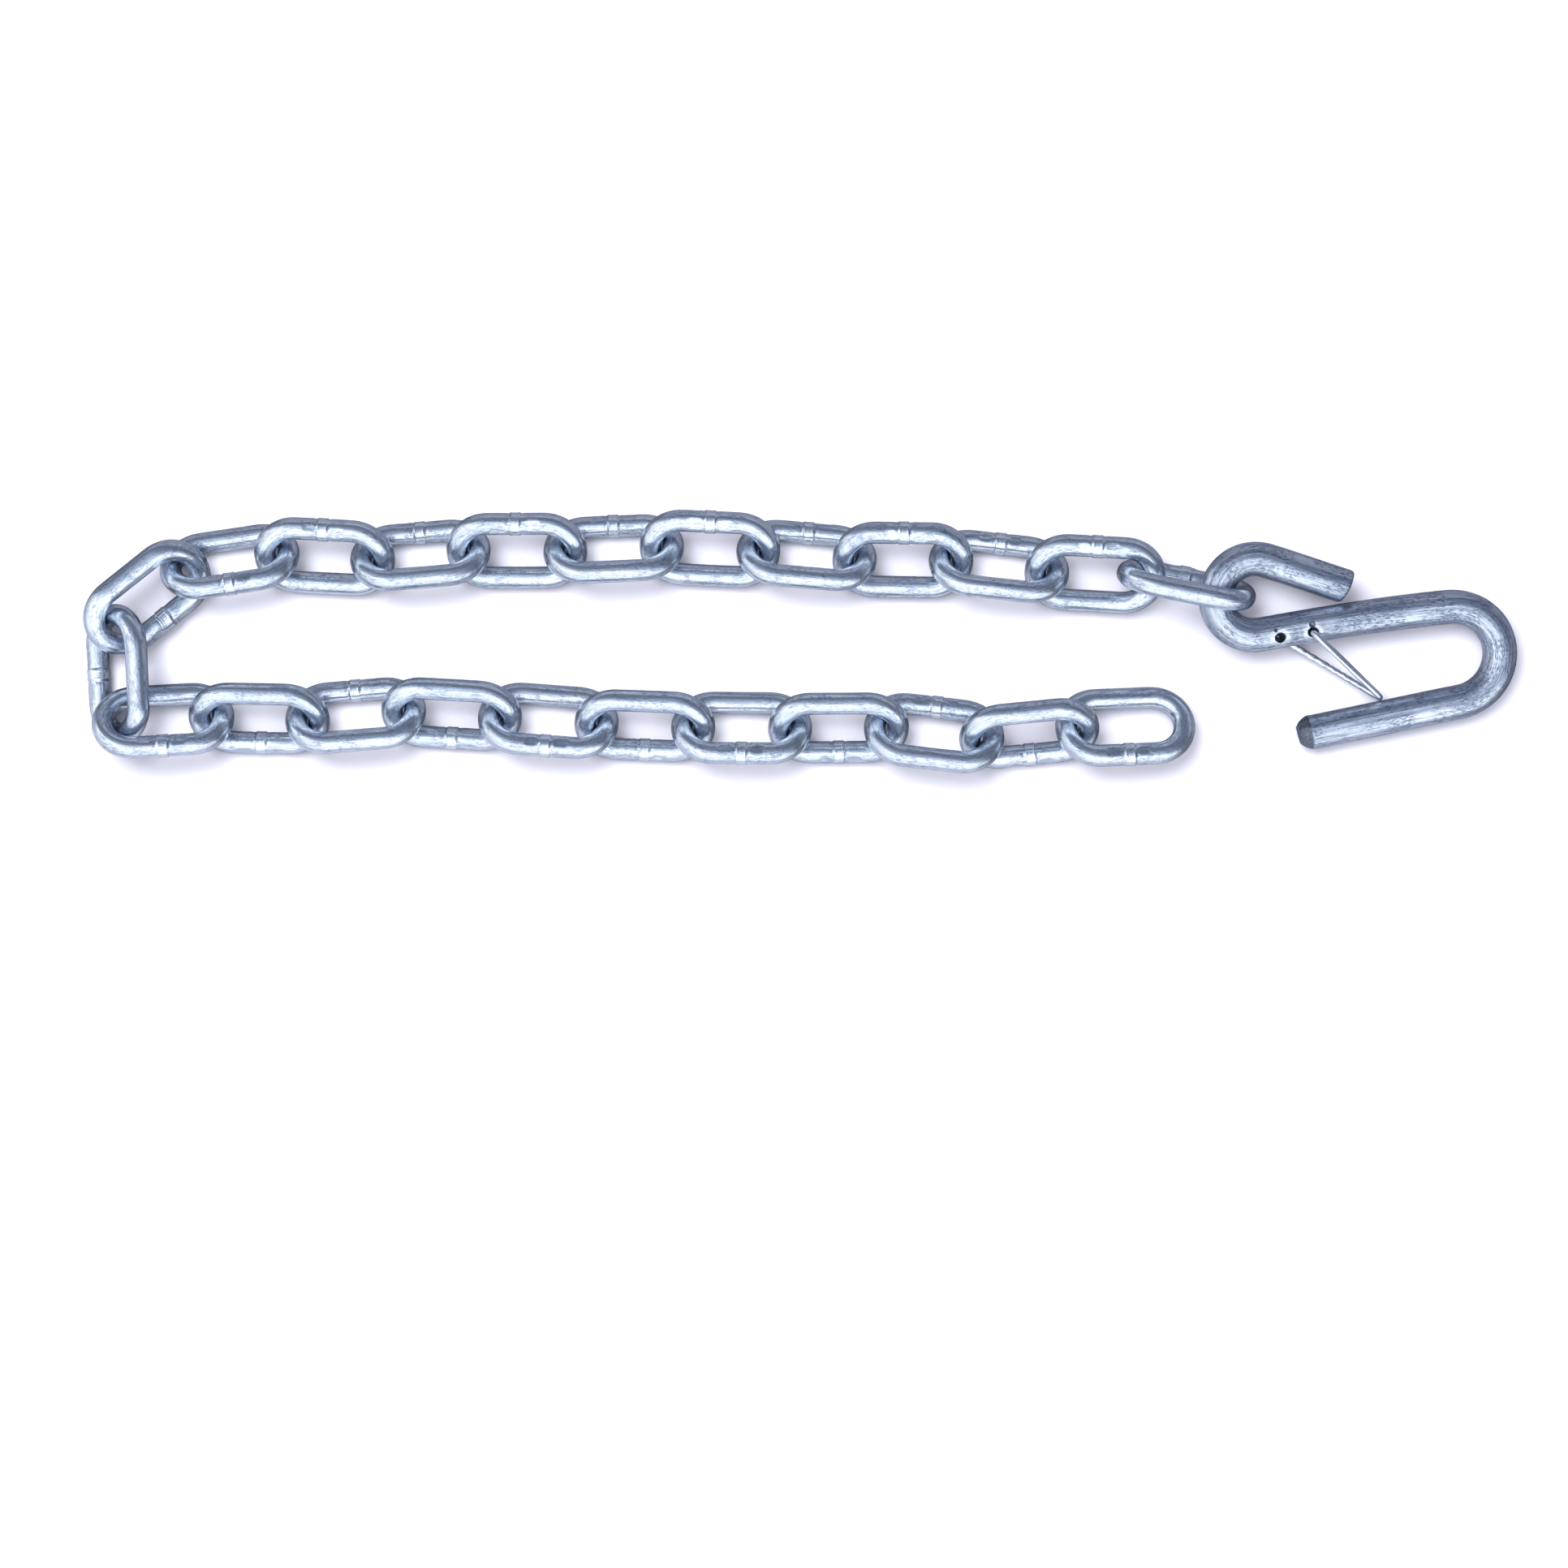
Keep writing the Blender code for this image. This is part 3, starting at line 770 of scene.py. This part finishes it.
def cap_ends(rng, verts, tangents, angles, turned):
    """Points and faces that close the bar, rings shrinking to a middle point."""
    points, faces = [], []
    count = verts.shape[0] * BAR_SIDES
    for at_end in (False, True):
        row = verts[-1] if at_end else verts[0]
        base = count_before = (verts.shape[0] - 1) * BAR_SIDES if at_end else 0
        mid = row.mean(0)
        axis = tangents[-1] if at_end else -tangents[0]
        outer = [count_before + j for j in range(BAR_SIDES)]
        way = 1 if at_end != turned else -1
        for k, shrink in enumerate((0.92, 0.72, 0.48, 0.22)):
            # shear marks
            height = (0.10 if k == 0 else 0.14) + rng.normal(size=BAR_SIDES) * 0.02 \
                + 0.12 * np.sin(angles * 2 + 1.0) * shrink
            points.append(mid + (row - mid) * shrink + axis[None] * height[:, None])
            inner = [count + j for j in range(BAR_SIDES)]
            count += BAR_SIDES
            for j in range(BAR_SIDES):
                beside = (j + 1) % BAR_SIDES
                faces.append([outer[j], inner[j], inner[beside], outer[beside]][::way])
            outer = inner
        points.append((mid + axis * 0.15)[None])
        for j in range(BAR_SIDES):
            faces.append([outer[j], count, outer[(j + 1) % BAR_SIDES]][::way])
        count += 1
    return points, faces


def punch_places():
    """Plan place and radius of each punch mark."""
    return [(hole + heading(yaw + 90) * across - heading(yaw) * back, radius)
            for (hole, yaw), (across, back, radius) in zip(HOLES, PUNCHES)]


def hole_cutters():
    """Holes countersunk on both faces, and the punch marks by them."""
    rim, throat = HOLE_RIM_H, HOLE_RIM_H - HOLE_RIM_DEEP
    cutters = []
    for i, ((hole, _), (punch, radius)) in enumerate(zip(HOLES, punch_places())):
        cutters.append(turned_solid('drill_%d' % i, on_hook(hole), HOOK_N, [
            (-8.0, 2.9), (-rim, HOLE_RIM_R), (-throat, HOLE_R), (throat, HOLE_R),
            (rim, HOLE_RIM_R), (8.0, 2.9)], sides=40))
        cutters.append(turned_solid('punch_%d' % i, on_hook(punch, PUNCH_H), HOOK_N, [
            (-0.75, 0.12), (-0.62, radius * 0.45), (-0.35, radius * 0.8), (0.02, radius),
            (1.2, radius * 1.35)], sides=24))
    return cutters


def store_bar_finish(obj, plan, plan_way, plan_out, dist):
    """Values for the finish, by each cut point's nearest place on the bar."""
    total = dist[-1]
    rel = np.array([v.co for v in obj.data.vertices], float) / MM - HOOK_AT
    flat = np.stack([rel @ HOOK_X, rel @ HOOK_Y], -1)
    height = rel @ HOOK_N
    nearest = np.zeros(len(rel), int)
    batch = 4000
    for i in range(0, len(rel), batch):
        squares = ((flat[i:i + batch, None] - plan[None]) ** 2).sum(-1)
        nearest[i:i + batch] = squares.argmin(1)
    offset = flat - plan[nearest]
    around = np.arctan2(height, (offset * plan_out[nearest]).sum(1))
    along = dist[nearest] + (offset * plan_way[nearest]).sum(1)
    gap = np.min([np.linalg.norm(flat - hole, axis=1) for hole, _ in HOLES], axis=0)
    # raw metal on both ends, in the holes and in the punch marks
    raw = np.maximum(smooth_step(-along, -0.9, 0.1) * 0.75,
                     smooth_step(along, total - 3.9, total - 3.5) * 0.9)
    raw = np.maximum(raw, (gap < HOLE_R + 0.02) * 0.95)
    for punch, radius in punch_places():
        dip = (np.linalg.norm(flat - punch, axis=1) < radius * 0.98) & (height > 2)
        raw = np.maximum(raw, dip * 0.8)
    store(obj,
          **flow_values(along, around, BAR_R, seed=31),
          rest_mm=np.column_stack([flat, height]),
          heat=np.zeros(len(rel)),
          polish=bell(np.maximum(gap - 2.3, 0), 0.8) * (gap > HOLE_R * 0.99),
          raw=raw)


def build_hook():
    rng = np.random.default_rng(77)
    plan, dist = resample(soften(PLAN, 1.2, BAR_PATH_STEP), bar_step)
    total = dist[-1]
    plan_way = unit(np.gradient(plan, axis=0))
    plan_out = np.stack([-plan_way[:, 1], plan_way[:, 0]], -1)
    angles = ring_angles(BAR_SIDES)
    around = angles[None, :]
    radius = bar_radius(rng, dist, around)

    line = on_hook(plan)
    out = HOOK_X * plan_out[:, :1] + HOOK_Y * plan_out[:, 1:]
    tangents = HOOK_X * plan_way[:, :1] + HOOK_Y * plan_way[:, 1:]
    verts = line[:, None] + spokes(out, HOOK_N[None], around) * radius[..., None]
    # neither end is square to the bar
    for end, slope, fade in ((0, 0.10, 1 - smooth_step(dist, 0, 9)),
                             (-1, -0.06, smooth_step(dist, total - 9, total))):
        lean = (verts - line[:, None]) @ out[end]
        verts = verts + tangents[:, None] * (lean * slope * fade[:, None])[..., None]

    swept = verts.reshape(-1, 3)
    faces = sweep_faces(swept, line, BAR_SIDES, closed=False)
    turned = faces[0][0] != 0
    cap_points, cap_faces = cap_ends(rng, verts, tangents, angles, turned)
    obj = add_wire('hook_bar_bent', np.concatenate([swept] + cap_points),
                   list(faces) + cap_faces, BAR_SHARP)
    face_outward(obj.data)
    subtract(obj, hole_cutters())
    shade(obj.data, BAR_SHARP)
    store_bar_finish(obj, plan, plan_way, plan_out, dist)
    obj.data.materials.clear()
    obj.data.materials.append(BAR_ZINC)
    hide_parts('hook')
    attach(obj, 'hook')


# ==================================================================== latch
LATCH_R = 1.0
LATCH_SIDE = 6.75            # legs off the hook's plane, at the holes
LATCH_NOSE_R = 1.9
LATCH_LEN = 35.2             # pivot to the end of the nose
LATCH_REST = -46.0           # degrees from the shank's heading
LATCH_BEND = 1.7             # bend where the latch wire turns into a hole
LATCH_STAGGER = 0.35         # each leg's offset in plan at the nose
LATCH_SIDES = 24
LATCH_SHARP = 50


def latch_leg(hole, nose, face, deep):
    """From deep in a hole, round a tight bend and along to the nose.

    Points are (plan x, plan y, height); face is the side of the hook's plane.
    """
    way = unit(nose - hole)
    length = np.linalg.norm(nose - hole)

    def height(x):
        return LATCH_SIDE + (LATCH_NOSE_R - LATCH_SIDE) * (x / length) ** 1.7

    leg = [(0.0, h) for h in np.linspace(-deep, LATCH_SIDE - LATCH_BEND, 24)]
    for k in range(1, 13):
        angle = math.pi / 2 * k / 12
        x = LATCH_BEND * (1 - math.cos(angle))
        rise = LATCH_SIDE - LATCH_BEND + LATCH_BEND * math.sin(angle)
        leg.append((x, min(rise, height(x) + 0.03)))
    leg += [(x, height(x)) for x in np.linspace(LATCH_BEND + 0.5, length, 60)]
    return [np.array([*(hole + way * x), face * h]) for x, h in leg]


def latch_path(mean_yaw):
    """Centreline: up the front hole, round the nose, back to the rear hole."""
    way, across = heading(mean_yaw + LATCH_REST), heading(mean_yaw + LATCH_REST + 90)
    nose = LATCH_PIVOT + way * (LATCH_LEN - LATCH_NOSE_R)
    rear, front = HOLES[0][0], HOLES[1][0]
    points = latch_leg(front, nose + across * LATCH_STAGGER, face=1, deep=3.4)
    for i in range(1, 24):
        angle = math.pi * i / 24
        place = (nose + way * (LATCH_NOSE_R * math.sin(angle))
                 + across * (LATCH_STAGGER - 2 * LATCH_STAGGER * i / 24))
        points.append(np.array([*place, LATCH_NOSE_R * math.cos(angle)]))
    points += latch_leg(rear, nose - across * LATCH_STAGGER, face=-1, deep=0.4)[::-1]
    line, _ = resample(np.array(points), lambda dist: 0.1)
    return resample(soften(line, 0.35, 0.1), lambda dist: 0.34)


def carry(line, first):
    """Side vectors carried along a curve without twist, and its tangents."""
    tangents = unit(np.gradient(line, axis=0))
    sides = np.zeros_like(line)
    side = np.array(first, float)
    for i, tangent in enumerate(tangents):
        side = side - tangent * side.dot(tangent)
        side = side / np.linalg.norm(side)
        sides[i] = side
    return sides, tangents


def build_latch():
    mean_yaw = (HOLES[0][1] + HOLES[1][1]) / 2
    path, dist = latch_path(mean_yaw)
    line = on_hook(path[:, :2], path[:, 2])
    side, tangents = carry(line, HOOK_X)
    other = np.cross(tangents, side)
    rng = np.random.default_rng(5)
    angles = ring_angles(LATCH_SIDES)
    along, around = dist[:, None], angles[None, :]
    total = dist[-1]
    from_end = np.minimum(dist, total - dist)

    radius = np.full((len(dist), LATCH_SIDES), LATCH_R)
    radius = radius + uneven(rng, along, 90.0, around,
                             terms=10, waves=(2, 9), turns=(1, 3), rms=0.012)
    radius = radius + dents(rng, along, total, around, LATCH_R,
                            count=26, size=(0.5, 1.6), depth=(0.01, 0.04), closed=False)
    # the rear leg was gripped hard by the bending tool
    gripped = window(dist, (total * 0.52, total * 0.60), (total * 0.80, total * 0.86))
    radius = radius + gripped[:, None] * uneven(rng, along, total, around,
                                                terms=12, waves=(20, 46), turns=(1, 3), rms=0.045)
    radius = radius * np.clip(from_end / 0.5, 0.55, 1)[:, None]
    # the front leg was pressed a little flat by the bending tool
    side_up = np.abs(side @ HOOK_N)[:, None] > np.abs(other @ HOOK_N)[:, None]
    press = window(dist, (9, 14), (26, 42))[:, None]
    radius = radius * (1 + press * np.where(side_up, np.sin(around) ** 2 * 0.30 - 0.12,
                                            np.cos(around) ** 2 * 0.30 - 0.12))

    verts = (line[:, None] + spokes(side, other, around) * radius[..., None]).reshape(-1, 3)
    faces = list(sweep_faces(verts, line, LATCH_SIDES, closed=False))
    faces.append(list(range(LATCH_SIDES)))
    faces.append([(len(dist) - 1) * LATCH_SIDES + j for j in reversed(range(LATCH_SIDES))])
    obj = add_wire('latch_spring_wire', verts, faces, LATCH_SHARP)
    face_outward(obj.data)
    shade(obj.data, LATCH_SHARP)
    store(obj,
          **flow_values(np.repeat(dist, LATCH_SIDES), np.tile(angles, len(dist)), LATCH_R,
                        seed=47),
          rest_mm=verts + 300.0,
          heat=np.repeat(gripped, LATCH_SIDES) * 0.85,
          polish=np.zeros(len(verts)),
          raw=(np.repeat(from_end, LATCH_SIDES) < 0.5) * 0.95)
    obj.data.materials.append(LATCH_ZINC)
    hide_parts('latch_wire', 'latch_end_front', 'latch_end_rear')
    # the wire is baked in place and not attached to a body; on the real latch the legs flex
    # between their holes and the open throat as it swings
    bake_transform(obj)


for number in range(1, LINK_COUNT + 1):
    build_link('link_%02d' % number, number)
build_hook()
build_latch()


# ==================================================================== stage
BACKDROP = (0.97, 0.975, 0.985, 1)
FLOOR_WHITE = (0.93, 0.93, 0.93, 1)
FLOOR_HALF = 4000.0          # mm
FLOOR_Z = -0.2
LAMP_TINT = (0.95, 0.945, 1.10)

# painted reflection: the floor's colour as the metal mirrors it, darker than its real white, from
# its +X +Y side (0) to its -X -Y side (1)
FLOOR_PAINTED_REFLECTION = [(0.0, (0.20, 0.21, 0.23)), (0.22, (0.10, 0.11, 0.12)),
              (0.45, (0.12, 0.13, 0.14)), (1.0, (0.42, 0.44, 0.46))]
# the sky from the -X -Y horizon (0) over the top (0.5) to the +X +Y horizon (1)
SKY = [
    (0.000, (1.02, 1.08, 1.14)), (0.167, (1.16, 1.22, 1.28)), (0.333, (1.38, 1.43, 1.48)),
    (0.430, (1.30, 1.36, 1.42)), (0.500, (0.76, 0.84, 1.00)), (0.540, (0.46, 0.53, 0.69)),
    (0.620, (0.26, 0.30, 0.38)), (0.728, (0.160, 0.190, 0.255)),
    (0.845, (0.150, 0.178, 0.24)), (0.885, (0.40, 0.44, 0.53)),
    (0.960, (0.42, 0.46, 0.55)), (1.000, (0.22, 0.25, 0.31))]


def floor_material():
    """White table top, with a painted reflection: glossy rays see it in darker colours, most of
    all toward +X +Y.
    """
    mat = bpy.data.materials.new('floor_white')
    g = Shader(mat)
    bsdf = g.nodes['Principled BSDF']
    path = g.node('LightPath')
    geometry = g.node('NewGeometry')
    split = g.node('SeparateXYZ', {0: geometry.outputs['Incoming']})
    side = g.times_plus(split.outputs['Y'], by=0.78, plus=0.5)
    side = g.times_plus(split.outputs['X'], by=0.56, plus=side, clamp=True)
    # painted reflection: glossy rays get the dark ramp colours in place of the white floor
    colour = g.mix(path.outputs['Is Glossy Ray'], FLOOR_WHITE, g.ramp(side, FLOOR_PAINTED_REFLECTION))
    g.feed(bsdf.inputs['Base Color'], colour)
    bsdf.inputs['Roughness'].default_value = 1.0
    bsdf.inputs['Specular IOR Level'].default_value = 0.0
    # the table top runs out into the white of the backdrop
    reach = g.node('VectorMath', {0: geometry.outputs['Position']}, operation='LENGTH')
    far = g.node('MapRange', {'From Min': 0.30, 'From Max': 0.75,
                              'Value': reach.outputs['Value']},
                 interpolation_type='SMOOTHSTEP')
    glow = g.node('Emission', {'Color': BACKDROP})
    fade = g.node('MixShader', {
        'Fac': g.times(far.outputs['Result'], by=path.outputs['Is Camera Ray']),
        1: bsdf.outputs['BSDF'], 2: glow.outputs['Emission']})
    g.feed(g.nodes['Material Output'].inputs['Surface'], fade.outputs['Shader'])
    return mat


def stage_floor():
    mat = floor_material()
    k = FLOOR_HALF
    corners = np.array([(-k, -k, FLOOR_Z), (k, -k, FLOOR_Z), (k, k, FLOOR_Z), (-k, k, FLOOR_Z)])
    floor = add_object('floor', corners, [(0, 1, 2, 3)])
    floor.data.materials.append(mat)


def studio_world():
    """What the metal mirrors: bright toward -X -Y, dark toward +X +Y."""
    world = bpy.data.worlds.new('studio')
    bpy.context.scene.world = world
    g = Shader(world)
    background = g.nodes['Background']
    split = g.node('SeparateXYZ', {0: g.node('TexCoord').outputs['Generated']})
    turned = g.times_plus(split.outputs['X'], by=0.52,
                          plus=g.times(split.outputs['Y'], by=0.88))
    angle = g.math('ARCTAN2', turned, split.outputs['Z'])
    sky = g.ramp(g.times_plus(angle, by=1 / math.pi, plus=0.5, clamp=True), SKY)
    # dimmer toward both ends of the X axis
    across = g.math('POWER', g.math('ABSOLUTE', split.outputs['X']), 3.0)
    dim = g.times_plus(across, by=-0.30, plus=1.0)
    dimmed = g.node('VectorMath', {0: sky, 'Scale': dim}, operation='SCALE')
    path = g.node('LightPath')
    seen = g.mix(path.outputs['Is Camera Ray'], dimmed.outputs[0], BACKDROP)
    g.feed(background.inputs['Color'], seen)
    background.inputs['Strength'].default_value = 1.0
    world.cycles_visibility.diffuse = False


def lamp(name, at, size, power):
    """Square soft box aimed at the origin, to light the table and cast shadows."""
    data = bpy.data.lights.new(name, 'AREA')
    data.shape = 'RECTANGLE'
    data.size = data.size_y = size
    data.energy = power
    data.color = LAMP_TINT
    obj = bpy.data.objects.new(name, data)
    obj.location = at
    aim = Vector((0, 0, 0)) - Vector(at)
    obj.rotation_euler = aim.to_track_quat('-Z', 'Y').to_euler()
    obj.visible_camera = False
    obj.visible_glossy = False
    bpy.context.scene.collection.objects.link(obj)


def add_camera():
    """Camera above the chain, looking straight down."""
    data = bpy.data.cameras.new('camera')
    data.sensor_width = 36.0
    data.lens = 77.4
    data.clip_start = 0.05
    camera = bpy.data.objects.new('camera', data)
    camera.location = (-0.005476, -0.045876, 1.1)
    bpy.context.scene.collection.objects.link(camera)
    bpy.context.scene.camera = camera


stage_floor()
studio_world()
lamp('overhead', at=(0.0, 0.05, 1.6), size=2.6, power=39)
lamp('key', at=(-0.40, 0.38, 1.35), size=0.7, power=18)
add_camera()
bpy.context.scene.view_settings.view_transform = 'Standard'
